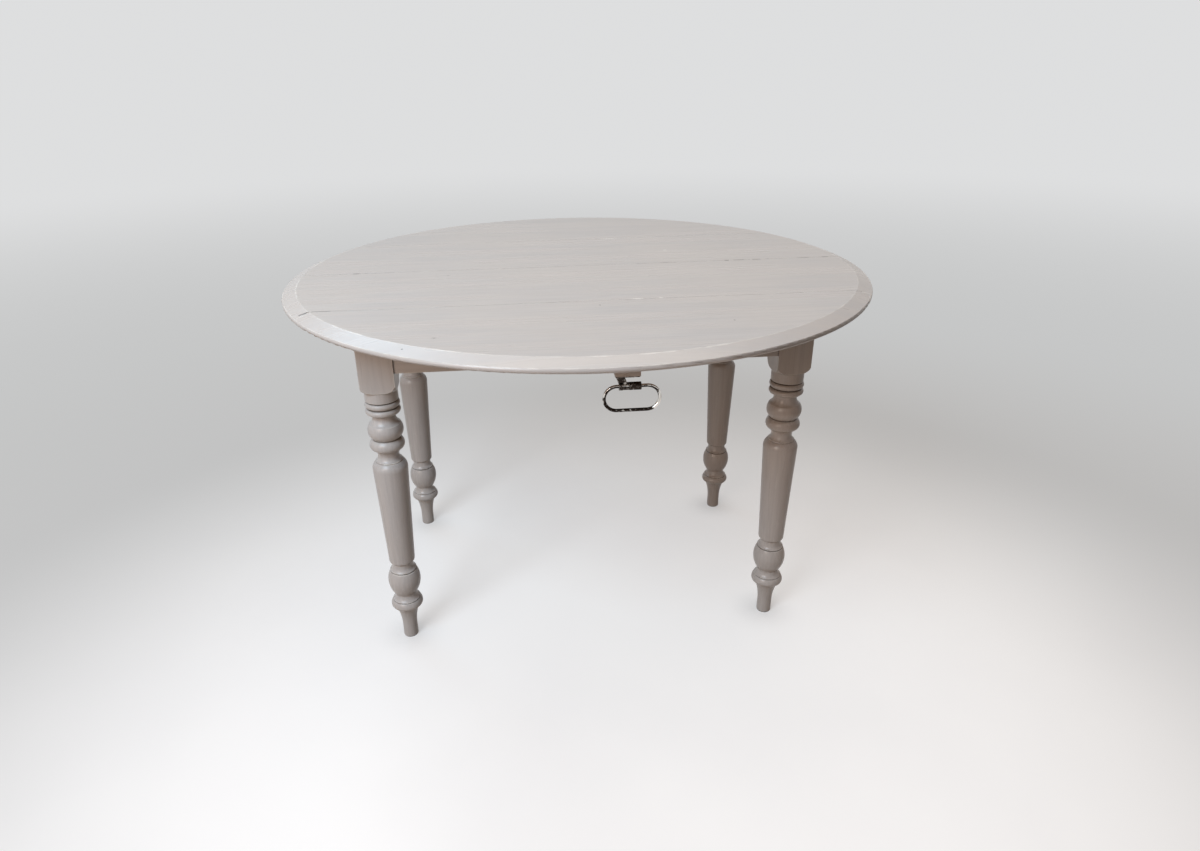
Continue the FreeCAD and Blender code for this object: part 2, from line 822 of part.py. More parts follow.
def top_buttons(label, turned):
    """Wooden buttons screwed under the top, each with a tongue in a slot of an apron."""
    body = new_body(label, turned, pieces=True)
    half = S.button_length / 2
    reach = S.button_reach
    blocks = new_sketch(body, "XY_Plane", button_bottom)
    tongues = new_sketch(body, "XY_Plane", button_bottom)
    for across, _ in button_places:
        rectangle(blocks, (across - half, -long_apron_inner),
                  (across + half, -long_apron_inner + reach))
        rectangle(tongues, (across - half, -long_apron_inner - S.button_tongue),
                  (across + half, -long_apron_inner + S.button_tongue))
    for side, (_, along) in zip((-1, 1), side_button_places):
        rectangle(blocks, (side * side_apron_inner, along - half),
                  (side * (side_apron_inner - reach), along + half))
        rectangle(tongues, (side * (side_apron_inner + S.button_tongue), along - half),
                  (side * (side_apron_inner - S.button_tongue), along + half))
    pad(body, blocks, S.button_height)
    pad(body, tongues, S.button_tongue)
    holes = new_sketch(body, "XY_Plane", button_bottom)
    circles(holes, button_places + side_button_places, S.wood_screw_shank)
    pocket(body, holes, S.button_height, along_normal=True)


def dovetail_half_height(distance):
    """Half the tongue's height at a distance from the middle runner's face."""
    flare = (S.dovetail_head - S.dovetail_neck) / 2 / S.dovetail_length
    return S.dovetail_neck / 2 + flare * distance


def fixed_runner(label, side, turned):
    """A runner fixed to its own half, grooved towards the middle runner."""
    body = new_body(label, turned)
    outermost = side < 0
    away = side if outermost else -side
    face = side * (outer_lane - S.runner_width) if outermost else side * inner_lane
    middle = (runner_bottom + underside - S.runner_relief) / 2
    mouth = dovetail_half_height(S.runner_lane_gap) + S.dovetail_clearance
    floor = dovetail_half_height(S.runner_lane_gap + groove_depth) + S.dovetail_clearance
    section = new_sketch(body, "XZ_Plane", -runner_end)
    outline(section, [
        (face, runner_bottom),
        (face, middle - mouth),
        (face + away * groove_depth, middle - floor),
        (face + away * groove_depth, middle + floor),
        (face, middle + mouth),
        (face, underside),
        (face + away * S.runner_width, underside),
        (face + away * S.runner_width, runner_bottom),
    ])
    pad(body, section, runner_end + long_apron_inner)
    relief = new_sketch(body, "XY_Plane", underside)
    rectangle(relief, (face - away * S.cut_overrun, -half_split),
              (face + away * (S.runner_width + S.cut_overrun), runner_end + S.cut_overrun))
    pocket(body, relief, S.runner_relief)
    places = [place for place in runner_screw_places if place[0].value * side > 0]
    shanks = new_sketch(body, "XY_Plane", runner_bottom)
    circles(shanks, places, S.wood_screw_shank)
    pocket(body, shanks, S.runner_height, along_normal=True)
    heads = new_sketch(body, "XY_Plane", runner_bottom)
    circles(heads, places, S.wood_screw_head)
    pocket(body, heads, S.runner_screw_sink, along_normal=True)


def middle_runner(label, side):
    """The floating runner between two fixed ones, with a dovetail tongue on each side."""
    body = new_body(label)
    outer_face = middle_lane
    inner_face = middle_lane - S.runner_width
    top = underside - S.runner_relief
    middle = (runner_bottom + top) / 2
    neck = S.dovetail_neck / 2
    head = S.dovetail_head / 2
    section = new_sketch(body, "XZ_Plane", -runner_end)
    outline(section, [(side * across, up) for across, up in (
        (inner_face, runner_bottom),
        (outer_face, runner_bottom),
        (outer_face, middle - neck),
        (outer_face + S.dovetail_length, middle - head),
        (outer_face + S.dovetail_length, middle + head),
        (outer_face, middle + neck),
        (outer_face, top),
        (inner_face, top),
        (inner_face, middle + neck),
        (inner_face - S.dovetail_length, middle + head),
        (inner_face - S.dovetail_length, middle - head),
        (inner_face, middle - neck),
    )])
    pad(body, section, 2 * runner_end)


def prop(label, turned):
    """The leaf's support: an arm on a bolt in the apron, rising to a level seat."""
    body = new_body(label, turned)
    eye = S.prop_eye_radius
    side_view = new_sketch(body, "YZ_Plane", prop_left)
    outline(side_view, [
        (-prop_pivot_y, prop_pivot_z - eye),
        (-(prop_end - S.prop_foot_length), prop_foot_height),
        (-prop_end, prop_foot_height),
        (-prop_end, prop_seat_height),
        (-(prop_end - S.prop_seat_length), prop_seat_height),
        (-prop_pivot_y, prop_pivot_z + eye, -eye),
        (-prop_pivot_y + eye, prop_pivot_z, -eye),
    ])
    pad(body, side_view, S.prop_width)
    bore = new_sketch(body, "YZ_Plane")
    circles(bore, [(-prop_pivot_y, prop_pivot_z)], S.bolt_radius + S.running_clearance)
    pocket(body, bore)
    pilots = new_sketch(body, "XY_Plane", prop_foot_height)
    circles(pilots, bracket_screw_places, S.wood_screw_shank)
    pocket(body, pilots, S.screw_bite, along_normal=True)


def prop_bolt(label, turned):
    body = new_body(label, turned)
    sketch = new_sketch(body, "YZ_Plane", notch_left - S.bolt_bite)
    circles(sketch, [(-prop_pivot_y, prop_pivot_z)], S.bolt_radius)
    pad(body, sketch, notch_right - notch_left + 2 * S.bolt_bite)


# The bracket and ring under the prop's end.
ring_y = prop_end - S.ring_setback
bar_height = prop_foot_height - S.ring_drop
bracket_left = prop_left + S.bracket_margin
bracket_right = prop_right - S.bracket_margin
barrel_left = bracket_left + S.bracket_web_lean
barrel_right = barrel_left + S.barrel_length
bar_left = barrel_left - S.ring_side_play
bar_right = bar_left + S.ring_bar
bracket_front = prop_end - (S.ring_setback - S.bracket_length / 2)
bracket_screw_places = [
    (bracket_right - S.bracket_length * bracket_screw_inset_share,
     -(ring_y + side * S.bracket_length * bracket_screw_spread_share))
    for side in (-1, 1)]


def ring_bracket(label, turned):
    """A plate with one ear down its left side, rolled into a barrel round the ring."""
    body = new_body(label, turned)
    plate_bottom = prop_foot_height - S.bracket_thickness
    plate = new_sketch(body, "XY_Plane", plate_bottom)
    rectangle(plate, (bracket_left, -bracket_front),
              (bracket_right, -bracket_front + S.bracket_length))
    pad(body, plate, S.bracket_thickness)
    ear = new_sketch(body, "XZ_Plane", ring_y)
    ear_top = prop_foot_height - S.bracket_thickness / 2
    # The ear stops above the wire, which leaves the barrel right beside it.
    ear_bottom = bar_height + S.ring_wire_radius + S.ear_clearance
    outline(ear, [
        (bracket_left, ear_top),
        (barrel_left, ear_bottom),
        (barrel_left + S.bracket_web_width, ear_bottom),
        (bracket_left + S.bracket_web_width, ear_top),
    ])
    pad(body, ear, S.bracket_web_thickness, both_ways=True)
    barrel = new_sketch(body, "XZ_Plane", ring_y)
    rectangle(barrel, (barrel_left, bar_height), (barrel_right, bar_height + S.barrel_radius))
    axis_line(barrel, bar_height)
    turn(body, barrel, "Axis0")
    bore = new_sketch(body, "XZ_Plane", ring_y)
    rectangle(bore, (barrel_left - S.cut_overrun, bar_height),
              (barrel_right + S.cut_overrun,
               bar_height + S.ring_wire_radius + S.running_clearance))
    axis_line(bore, bar_height)
    turn(body, bore, "Axis0", "Groove")
    window = new_sketch(body, "XZ_Plane", ring_y)
    window_left = barrel_left + S.bracket_web_width / 2
    rectangle(window, (window_left, bar_height - S.barrel_radius),
              (window_left + S.barrel_window, bar_height + S.barrel_radius))
    pocket(body, window, S.barrel_radius, along_normal=True)
    screw_seats(body, bracket_screw_places, plate_bottom)


def ring(label, turned):
    """The oval pull: one wire whose straight top bar turns in the barrel."""
    body = new_body(label, turned)
    end_radius = (S.ring_height - 2 * S.ring_wire_radius) / 2
    middle = bar_height - end_radius
    bottom = middle - end_radius
    path = new_sketch(body, "XZ_Plane", ring_y)
    outline(path, [
        (bar_left, bar_height, end_radius),
        (bar_left - end_radius, middle, end_radius),
        (bar_left, bottom),
        (bar_right, bottom, end_radius),
        (bar_right + end_radius, middle, end_radius),
        (bar_right, bar_height),
    ])
    wire = new_sketch(body, "YZ_Plane", (bar_left + bar_right) / 2)
    circles(wire, [(-ring_y, bar_height)], S.ring_wire_radius)
    pipe = body.newObject("PartDesign::AdditivePipe", f"{label}_pipe")
    pipe.Profile = wire
    pipe.Spine = (path, [f"Edge{number + 1}" for number in range(path.GeometryCount)])


# The hooks that hold the two halves together, stored along the split.
hook_top = underside - S.hook_hang
hook_bottom = hook_top - S.hook_thickness
hook_head_bottom = hook_bottom - S.hook_hang - S.hook_screw_head_height
hook_reach = 2 * S.hook_pivot_setback


def lock_hook(label, side):
    """A flat hook on a screw in the front half: it swings a quarter turn onto the rear screw."""
    body = new_body(label)
    place_at(body, side * S.hook_offset, -S.hook_pivot_setback, False)
    half_width = S.hook_width / 2
    mouth = S.hook_screw_radius + S.hook_mouth_clearance
    inward = -side
    sketch = new_sketch(body, "XY_Plane", hook_bottom)
    outline(sketch, [
        (0, -half_width),
        (inward * (hook_reach + S.hook_tip), -half_width),
        (inward * (hook_reach + S.hook_tip), half_width),
        (inward * (hook_reach + mouth), half_width),
        (inward * (hook_reach + mouth), -mouth),
        (inward * (hook_reach - mouth), -mouth),
        (inward * (hook_reach - mouth), half_width),
        (0, half_width, inward * half_width),
        (-inward * half_width, 0, inward * half_width),
    ])
    pad(body, sketch, S.hook_thickness)
    bore = new_sketch(body, "XY_Plane", hook_bottom)
    circles(bore, [(0, 0)], S.hook_screw_radius + S.running_clearance)
    pocket(body, bore)


def build_half(half, turned):
    """Every piece of one half of the table, with its leaf and leaf prop."""
    # Turning the half over changes which of its sides is on the left.
    sides = {"left": 1, "right": -1} if turned else {"left": -1, "right": 1}
    clearance = S.tongue_clearance if turned else Size.of(0)
    fixed_top(f"{half}_top", turned, clearance)
    long_apron(f"{half}_long_apron", turned)
    for name, side in sides.items():
        leg(f"{half}_{name}_leg", side, turned)
        side_apron(f"{half}_{name}_apron", side, turned)
        fixed_runner(f"{half}_{name}_runner", side, turned)
    corner_blocks(f"{half}_corner_blocks", turned)
    top_buttons(f"{half}_top_buttons", turned)
    hinge_fixed_plates(f"{half}_hinge_plates", turned)
    hinge_pins(f"{half}_hinge_pins", turned)
    prop_bolt(f"{half}_prop_bolt", turned)
    leaf(f"{half}_leaf", turned)
    hinge_leaf_plates(f"{half}_leaf_hinge_plates", turned)
    prop(f"{half}_prop", turned)
    ring_bracket(f"{half}_ring_bracket", turned)
    ring(f"{half}_ring", turned)

    pilot_tip = underside + S.screw_bite
    plate_screw = (S.plate_screw_head, S.plate_screw_head_height, S.wood_screw_shank)
    wood_screw = (S.wood_screw_head, S.wood_screw_head_height, S.wood_screw_shank)
    screws(f"{half}_hinge_screws", turned, fixed_screw_places, underside, *plate_screw, pilot_tip)
    screws(f"{half}_leaf_screws", turned, leaf_screw_places, underside, *plate_screw, pilot_tip)
    screws(f"{half}_button_screws", turned, button_places + side_button_places,
           button_bottom - S.wood_screw_head_height, *wood_screw, pilot_tip)
    screws(f"{half}_runner_screws", turned, runner_screw_places,
           runner_bottom + S.runner_screw_sink - S.wood_screw_head_height, *wood_screw, pilot_tip)
    screws(f"{half}_bracket_screws", turned, bracket_screw_places,
           prop_foot_height - S.bracket_thickness, *plate_screw,
           prop_foot_height - S.bracket_thickness + S.screw_bite)
    screws(f"{half}_hook_screws", turned, hook_places, hook_head_bottom,
           S.hook_screw_head, S.hook_screw_head_height, S.hook_screw_radius, pilot_tip)


def check_and_export():
    """Stop at anything that failed, then write one file for each piece."""
    for item in doc.Objects:
        if "Invalid" in item.State or "Error" in item.State:
            raise RuntimeError(f"{item.Label} failed: {item.State}")
        if item.TypeId in ("PartDesign::Pocket", "PartDesign::Groove"):
            if not item.Shape.Volume < item.BaseFeature.Shape.Volume:
                raise RuntimeError(f"{item.Label} cuts nothing")
    os.makedirs("parts", exist_ok=True)
    bodies = [item for item in doc.Objects if item.TypeId == "PartDesign::Body"]
    for body in bodies:
        if body.Shape.isNull() or not body.Shape.isValid():
            raise RuntimeError(f"{body.Label} has no valid shape")
        body.Shape.exportStep(f"parts/{body.Label}.step")
    print(f"{len(bodies)} pieces written")


build_half("front", False)
build_half("rear", True)
alignment_tongues()
for side_name, side_sign in (("left", -1), ("right", 1)):
    middle_runner(f"{side_name}_middle_runner", side_sign)
    lock_hook(f"{side_name}_lock_hook", side_sign)
doc.recompute()
check_and_export()
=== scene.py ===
"""The looks of an extending round table: brushed paint, bare wood, metal, floor, lamps and camera.

Places are in metres: X along the seams, Y from the front leaf to the rear one and Z up.
"""
import math

import bmesh
import bpy
from mathutils import Matrix, Vector


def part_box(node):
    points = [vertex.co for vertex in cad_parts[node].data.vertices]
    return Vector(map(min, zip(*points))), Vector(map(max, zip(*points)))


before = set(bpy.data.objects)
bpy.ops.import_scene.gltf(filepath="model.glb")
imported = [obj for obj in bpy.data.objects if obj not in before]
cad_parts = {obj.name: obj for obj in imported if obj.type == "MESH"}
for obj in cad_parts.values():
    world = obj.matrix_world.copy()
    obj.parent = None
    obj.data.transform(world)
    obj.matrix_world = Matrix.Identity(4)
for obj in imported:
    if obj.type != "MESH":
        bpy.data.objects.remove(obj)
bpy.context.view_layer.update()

MM = 0.001
AXES = "XYZ"
ALONG_X = (1.0, 0.0, 0.0)
ALONG_Y = (0.0, 1.0, 0.0)
ALONG_Z = (0.0, 0.0, 1.0)
DOWN = (0.0, 0.0, -1.0)
# Which way the table's middle lies: along Y from each half, and along X from each side.
HALVES = {"front": 1.0, "rear": -1.0}
SIDES = {"left": 1.0, "right": -1.0}

BEVEL_WIDTH = 28.0 * MM
top_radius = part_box("front_top")[1].x
flat_radius = top_radius - BEVEL_WIDTH


def rgb(red, green, blue):
    return (red, green, blue, 1.0)


# Paint: its own tone and how that drifts, then painted shade in creases (also the tone of small
# dark specks), the pale of chips and of edges lightened by wear and a painted highlight, and grime
# in seams.
PAINT = rgb(0.622, 0.578, 0.549)
PAINT_COOL = rgb(0.590, 0.560, 0.544)
PAINT_WARM = rgb(0.642, 0.592, 0.552)
CREASE_SHADE_AND_SPECKS = rgb(0.17, 0.145, 0.125)
PAINT_CHIP_AND_HIGHLIGHT = rgb(0.86, 0.83, 0.78)
PAINT_GRIME = rgb(0.07, 0.058, 0.05)
WOOD_LIGHT = rgb(0.42, 0.27, 0.145)
WOOD_DARK = rgb(0.235, 0.13, 0.062)
WOOD_PORE = rgb(0.10, 0.052, 0.026)
# The ring: a dark painted reflection, and its steel where it is lit.
DARK_REFLECTION = rgb(0.020, 0.013, 0.010)
BRIGHT_STEEL = rgb(0.86, 0.82, 0.77)
BLACK = rgb(0.0, 0.0, 0.0)

# How finely a noise is cut up, per metre: along the axis that it is drawn out on, and across it.
PAINT_BANDS = (1.3, 22.0)
PAINT_STROKES = (7.0, 210.0)
PAINT_BRISTLES = (26.0, 1500.0)
WOOD_BANDS = (0.9, 26.0)
WOOD_RINGS = (2.2, 150.0)
WOOD_PORES = (22.0, 1100.0)
METAL_SCRATCHES = (300.0, 2600.0)
SEAM_BORDER = (700.0, 300.0)
SPOT_BORDER = (900.0, 420.0)
PAINT_END_BORDER = (12.0, 90.0)

# How deep the relief is that a material's noise makes.
BRUSH_DEPTH = 0.04 * MM
GRAIN_DEPTH = 0.12 * MM
SCRATCH_DEPTH = 0.02 * MM
# How far in from its edges a surface looks rounded, and how far in its paint is lighter, from wear
# and a painted highlight.
PAINT_ROUNDING = 1.2 * MM
WOOD_ROUNDING = 1.0 * MM
METAL_ROUNDING = 0.4 * MM
PAINT_WORN_AND_LIT = 2.4 * MM

# From the smoothest to the roughest spots.
PAINT_ROUGHNESS = (0.26, 0.33)
WOOD_ROUGHNESS = (0.5, 0.68)
RING_ROUGHNESS = (0.16, 0.42)
# Bare wood beside paint, and what a metal's patina adds.
BARE_SIDE_ROUGHNESS = 0.62
PATINA_ROUGHNESS = 0.25

# The share of the brush marks that is left on the bevel, and the strip in which they fade.
BRUSHED_ON_BEVEL = 0.3
BRUSHED_FADE = 2.0 * MM
# Painted shade in creases: its reach, the openness where it starts and where it is full, and its
# depth.
CREASES = [(6.0 * MM, 0.82, 0.38, 0.80), (2.2 * MM, 0.95, 0.56, 0.85)]
# The painted end of a leaf support starts at this distance from the table's middle along Y.
SUPPORT_PAINTED_FROM = 0.502

# Places of the mix node's inputs and output, whose names are the same for values and colours.
FIRST_VALUE, SECOND_VALUE = 2, 3
FIRST_COLOUR, SECOND_COLOUR = 6, 7
MIXED_COLOUR = 2


class Nodes:
    """The nodes of a material or world, with a short way to add each kind that they need."""

    def __init__(self, owner):
        owner.use_nodes = True
        self.owner = owner
        self.tree = owner.node_tree
        self.tree.nodes.clear()
        coordinates = self.tree.nodes.new("ShaderNodeTexCoord")
        self.place = coordinates.outputs["Object"]
        self.facing = coordinates.outputs["Normal"]
        self.direction = coordinates.outputs["Generated"]

    def add(self, kind, inputs, output=0, **settings):
        node = self.tree.nodes.new(kind)
        for name, value in settings.items():
            setattr(node, name, value)
        for name, value in inputs.items():
            if isinstance(value, bpy.types.NodeSocket):
                self.tree.links.new(value, node.inputs[name])
            else:
                node.inputs[name].default_value = value
        return node.outputs[output]

    def noise(self, scale=1.0, detail=2.0, roughness=0.5, place=None):
        return self.add("ShaderNodeTexNoise", {
            "Vector": self.place if place is None else place,
            "Scale": scale, "Detail": detail, "Roughness": roughness})

    def drawn_out(self, axis, fineness, detail=2.0, roughness=0.5):
        """Noise drawn out along an axis: fineness has its scale along that axis and across it."""
        along, across = fineness
        scale = tuple(along if name == axis else across for name in AXES)
        place = self.add("ShaderNodeMapping", {"Vector": self.place, "Scale": scale})
        return self.noise(detail=detail, roughness=roughness, place=place)

    def steps(self, value, low, high, to_low=0.0, to_high=1.0):
        """A smooth rise from to_low to to_high while the value goes from low to high."""
        return self.add("ShaderNodeMapRange", {
            "Value": value, "From Min": low, "From Max": high,
            "To Min": to_low, "To Max": to_high}, interpolation_type="SMOOTHSTEP")

    def maths(self, operation, first, second=0.0):
        return self.add("ShaderNodeMath", {0: first, 1: second}, operation=operation)

    def linear(self, value, factor, offset):
        return self.maths("ADD", self.maths("MULTIPLY", value, factor), offset)

    def ragged(self, value, noise, width):
        """A value that a noise moves up and down within a width, for a ragged border."""
        return self.maths("ADD", value, self.linear(noise, width, -width / 2))

    def vectors(self, operation, first, second, output=0):
        return self.add("ShaderNodeVectorMath", {0: first, 1: second}, output=output,
                        operation=operation)

    def dot(self, first, second):
        return self.vectors("DOT_PRODUCT", first, second, output="Value")

    def length(self, vector):
        return self.add("ShaderNodeVectorMath", {0: vector}, output="Value", operation="LENGTH")

    def mix(self, factor, first, second, blend_type="MIX"):
        """The first colour at a factor of 0 and the second at 1, or with ADD the sum of both."""
        return self.add("ShaderNodeMix", {
            "Factor": factor, FIRST_COLOUR: first, SECOND_COLOUR: second},
            output=MIXED_COLOUR, data_type="RGBA", blend_type=blend_type)

    def between(self, factor, first, second):
        """The first value where the factor is 0 and the second where it is 1."""
        return self.add("ShaderNodeMix", {
            "Factor": factor, FIRST_VALUE: first, SECOND_VALUE: second})

    def rounded(self, radius, samples):
        """The surface's direction as if its edges were rounded."""
        return self.add("ShaderNodeBevel", {"Radius": radius}, samples=samples)

    def on_edge(self, rounded, starts, full):
        """1 where a rounded direction has turned away from the face's own, and 0 on a flat."""
        face_normal = self.add("ShaderNodeNewGeometry", {}, output="Normal")
        return self.steps(self.dot(rounded, face_normal), starts, full)

    def openness(self, reach, samples):
        """1 in the open, and less in a crease or beside another surface within reach."""
        return self.add("ShaderNodeAmbientOcclusion", {"Distance": reach}, output="AO",
                        samples=samples)

    def bump(self, height, depth, normal):
        return self.add("ShaderNodeBump", {
            "Height": height, "Distance": depth, "Strength": 1.0, "Normal": normal})

    def is_seen(self):
        """1 for rays that the camera, a mirror or glass sends out, 0 for the light on surfaces."""
        path = self.tree.nodes.new("ShaderNodeLightPath")
        total = path.outputs["Is Camera Ray"]
        for name in ("Is Glossy Ray", "Is Transmission Ray"):
            total = self.maths("MAXIMUM", total, path.outputs[name])
        return total

    def finish(self, surface, output_kind="ShaderNodeOutputMaterial"):
        output = self.tree.nodes.new(output_kind)
        self.tree.links.new(surface, output.inputs["Surface"])
        return self.owner


def new_material(name):
    return Nodes(bpy.data.materials.new(name))


def grain(shader, axis):
    """Colour and height of bare timber whose grain runs along an axis."""
    bands = shader.drawn_out(axis, WOOD_BANDS, detail=3.0, roughness=0.62)
    rings = shader.drawn_out(axis, WOOD_RINGS)
    pores = shader.drawn_out(axis, WOOD_PORES)
    colour = shader.mix(shader.steps(bands, 0.32, 0.68), WOOD_LIGHT, WOOD_DARK)
    colour = shader.mix(shader.steps(rings, 0.52, 0.7, 0.0, 0.45), colour, WOOD_DARK)
    colour = shader.mix(shader.steps(pores, 0.6, 0.74, 0.0, 0.6), colour, WOOD_PORE)
    height = shader.maths("ADD", shader.maths("MULTIPLY", rings, 0.4), pores)
    return colour, height


def timber(name, axis, painted_from=None):
    """Bare timber; beyond a distance from the table's middle along Y it carries the paint."""
    shader = new_material(name)
    colour, height = grain(shader, axis)
    if painted_from is not None:
        border = shader.drawn_out("Y", PAINT_END_BORDER, detail=3.0)
        distance = shader.maths("ABSOLUTE", shader.dot(shader.place, ALONG_Y))
        distance = shader.maths("ADD", distance, shader.maths("MULTIPLY", border, 12.0 * MM))
        painted_share = shader.steps(distance, painted_from, painted_from + 3.0 * MM)
        colour = shader.mix(painted_share, colour, PAINT)
    softened = shader.rounded(WOOD_ROUNDING, samples=4)
    surface = shader.add("ShaderNodeBsdfPrincipled", {
        "Base Color": colour,
        "Roughness": shader.steps(height, 0.4, 1.0, *WOOD_ROUGHNESS),
        "Normal": shader.bump(height, GRAIN_DEPTH, softened)})
    return shader.finish(surface)


def looks_up(shader):
    """1 on the boards' upper faces and bevels, 0 on their edges and undersides."""
    return shader.steps(shader.dot(shader.facing, ALONG_Z), 0.3, 0.6)


def from_middle(shader):
    """The distance from the top's middle as seen from above."""
    return shader.length(shader.vectors("MULTIPLY", shader.place, (1.0, 1.0, 0.0)))


def seam_dirt(shader, colour, seam, stretches):
    """A ragged dark line on a seam at Y: each stretch has a start and end along X and a depth."""
    border = shader.drawn_out("Y", SEAM_BORDER)
    along = shader.ragged(shader.dot(shader.place, ALONG_X), border, 8.0 * MM)
    # The ramp goes from 0 to 1 across the top, with a step up and a step down for each stretch.
    ramp = shader.tree.nodes.new("ShaderNodeValToRGB")
    shader.tree.links.new(shader.linear(along, 0.5 / top_radius, 0.5), ramp.inputs["Fac"])
    ramp.color_ramp.interpolation = "CONSTANT"
    stops = ramp.color_ramp.elements
    stops.remove(stops[1])
    stops[0].color = BLACK
    for start, end, depth in stretches:
        for x, colour_from_there in ((start, rgb(depth, depth, depth)), (end, BLACK)):
            stops.new(0.5 + 0.5 * x * MM / top_radius).color = colour_from_there
    away = shader.maths("SUBTRACT", shader.dot(shader.place, ALONG_Y), seam * MM)
    away = shader.ragged(shader.maths("ABSOLUTE", away), border, 1.2 * MM)
    near = shader.maths("MULTIPLY", shader.steps(away, 3.0 * MM, 1.7 * MM), looks_up(shader))
    return shader.mix(shader.maths("MULTIPLY", near, ramp.outputs["Color"]), colour, PAINT_GRIME)


def marked(shader, colour, marks):
    """Ragged spots laid over a colour: each has a middle, half sizes and a colour of its own."""
    border = shader.drawn_out("Y", SPOT_BORDER)
    for x, y, half_length, half_width, spot_colour in marks:
        offset = shader.vectors("SUBTRACT", shader.place, (x * MM, y * MM, 0.0))
        # The spot's edge lies where its reach, counted in half sizes, is 1.
        reach = shader.length(shader.vectors(
            "MULTIPLY", offset, (1 / (half_length * MM), 1 / (half_width * MM), 0.0)))
        edge = shader.maths("ADD", reach, shader.steps(border, 0.3, 0.7, -0.45, 0.45))
        spot = shader.maths("MULTIPLY", shader.steps(edge, 1.0, 0.7), looks_up(shader))
        colour = shader.mix(spot, colour, spot_colour)
    return colour


def arris_wear_and_highlight(shader, colour):
    """Lighter paint in patches along the line where the top's flat meets its bevel: partly wear,
    partly a painted highlight on the arris.
    """
    border = shader.noise(60.0, detail=3.0)
    away = shader.maths("ABSOLUTE", shader.maths("SUBTRACT", from_middle(shader), flat_radius))
    away = shader.ragged(away, border, 4.0 * MM)
    share = shader.maths("MULTIPLY", shader.steps(away, 2.2 * MM, 0.8 * MM), looks_up(shader))
    patches = shader.noise(13.0, detail=3.0, roughness=0.6)
    share = shader.maths("MULTIPLY", share, shader.steps(patches, 0.50, 0.62, 0.10, 0.65))
    return shader.mix(share, colour, PAINT_CHIP_AND_HIGHLIGHT)


def painted(name, axis, bare_side=None, marks=(), seams=(), streaks=1.0, has_bevel=False):
    """Satin paint brushed along an axis, with bare timber on the side that was never painted."""
    shader = new_material(name)
    bands = shader.drawn_out(axis, PAINT_BANDS, detail=3.0, roughness=0.6)
    strokes = shader.drawn_out(axis, PAINT_STROKES, detail=3.0)
    bristles = shader.drawn_out(axis, PAINT_BRISTLES)
    clouds = shader.noise(3.1)
    orange_peel = shader.noise(420.0, detail=1.0)
    # Across the bevel the brush marks are fainter, because the brush went round it.
    brushed = 1.0
    if has_bevel:
        brushed = shader.steps(from_middle(shader), flat_radius, flat_radius + BRUSHED_FADE,
                               1.0, BRUSHED_ON_BEVEL)
    colour = shader.mix(shader.steps(bands, 0.34, 0.66), PAINT, PAINT_COOL)
    colour = shader.mix(shader.steps(clouds, 0.4, 0.66, 0.0, 0.6), colour, PAINT_WARM)
    dark_marks = shader.steps(strokes, 0.3, 0.72, 0.0, 0.09)
    pale_marks = shader.steps(bristles, 0.55, 0.75, 0.0, 0.12 * streaks)
    colour = shader.mix(shader.maths("MULTIPLY", dark_marks, brushed), colour, PAINT_GRIME)
    colour = shader.mix(shader.maths("MULTIPLY", pale_marks, brushed), colour, PAINT_CHIP_AND_HIGHLIGHT)

    # Lighter paint in patches on edges: partly wear, partly a painted highlight where an edge
    # catches light.
    edge = shader.on_edge(shader.rounded(PAINT_WORN_AND_LIT, samples=6), 0.9965, 0.988)
    lighter_patches = shader.noise(24.0, detail=4.0, roughness=0.7)
    worn_and_highlit = shader.maths("MULTIPLY", edge, shader.steps(lighter_patches, 0.44, 0.60, 0.12, 0.95))
    colour = shader.mix(worn_and_highlit, colour, PAINT_CHIP_AND_HIGHLIGHT)
    if has_bevel:
        colour = arris_wear_and_highlight(shader, colour)
    # Painted shade: the paint darkens in creases and beside other surfaces, where shade falls.
    for reach, starts, full, depth in CREASES:
        crease_shade = shader.steps(shader.openness(reach, samples=6), starts, full, 0.0, depth)
        colour = shader.mix(crease_shade, colour, CREASE_SHADE_AND_SPECKS)
    for seam, stretches in seams:
        colour = seam_dirt(shader, colour, seam, stretches)
    colour = marked(shader, colour, marks)

    height = shader.maths("ADD", shader.maths("MULTIPLY", strokes, 1.6), bristles)
    height = shader.maths("MULTIPLY", height, brushed)
    height = shader.maths("ADD", height, shader.maths("MULTIPLY", orange_peel, 0.15))
    roughness = shader.steps(bands, 0.3, 0.7, *PAINT_ROUGHNESS)
    if bare_side is not None:
        wood_colour, wood_height = grain(shader, axis)
        is_bare = shader.steps(shader.dot(shader.facing, bare_side), 0.965, 0.985)
        colour = shader.mix(is_bare, colour, wood_colour)
        height = shader.between(is_bare, height, wood_height)
        roughness = shader.between(is_bare, roughness, BARE_SIDE_ROUGHNESS)
    softened = shader.rounded(PAINT_ROUNDING, samples=6)
    surface = shader.add("ShaderNodeBsdfPrincipled", {
        "Base Color": colour,
        "Roughness": roughness,
        "Normal": shader.bump(height, BRUSH_DEPTH, softened)})
    return shader.finish(surface)


def metal(name, colour, dull_colour, roughness, dull_from, softness):
    """Metal with a thin patina where a noise passes dull_from; softness is how slowly it fades."""
    shader = new_material(name)
    patches = shader.noise(190.0, detail=4.0, roughness=0.65)
    scratches = shader.drawn_out("X", METAL_SCRATCHES, detail=1.0)
    patina = shader.steps(patches, dull_from - softness / 2, dull_from + softness / 2)
    softened = shader.rounded(METAL_ROUNDING, samples=4)
    patina = shader.maths("SUBTRACT", patina, shader.on_edge(softened, 0.99, 0.9))
    surface = shader.add("ShaderNodeBsdfPrincipled", {
        "Base Color": shader.mix(patina, colour, dull_colour),
        "Metallic": 1.0,
        "Roughness": shader.steps(patina, 0.0, 1.0, roughness, roughness + PATINA_ROUGHNESS),
        "Normal": shader.bump(scratches, SCRATCH_DEPTH, softened)})
    return shader.finish(surface)


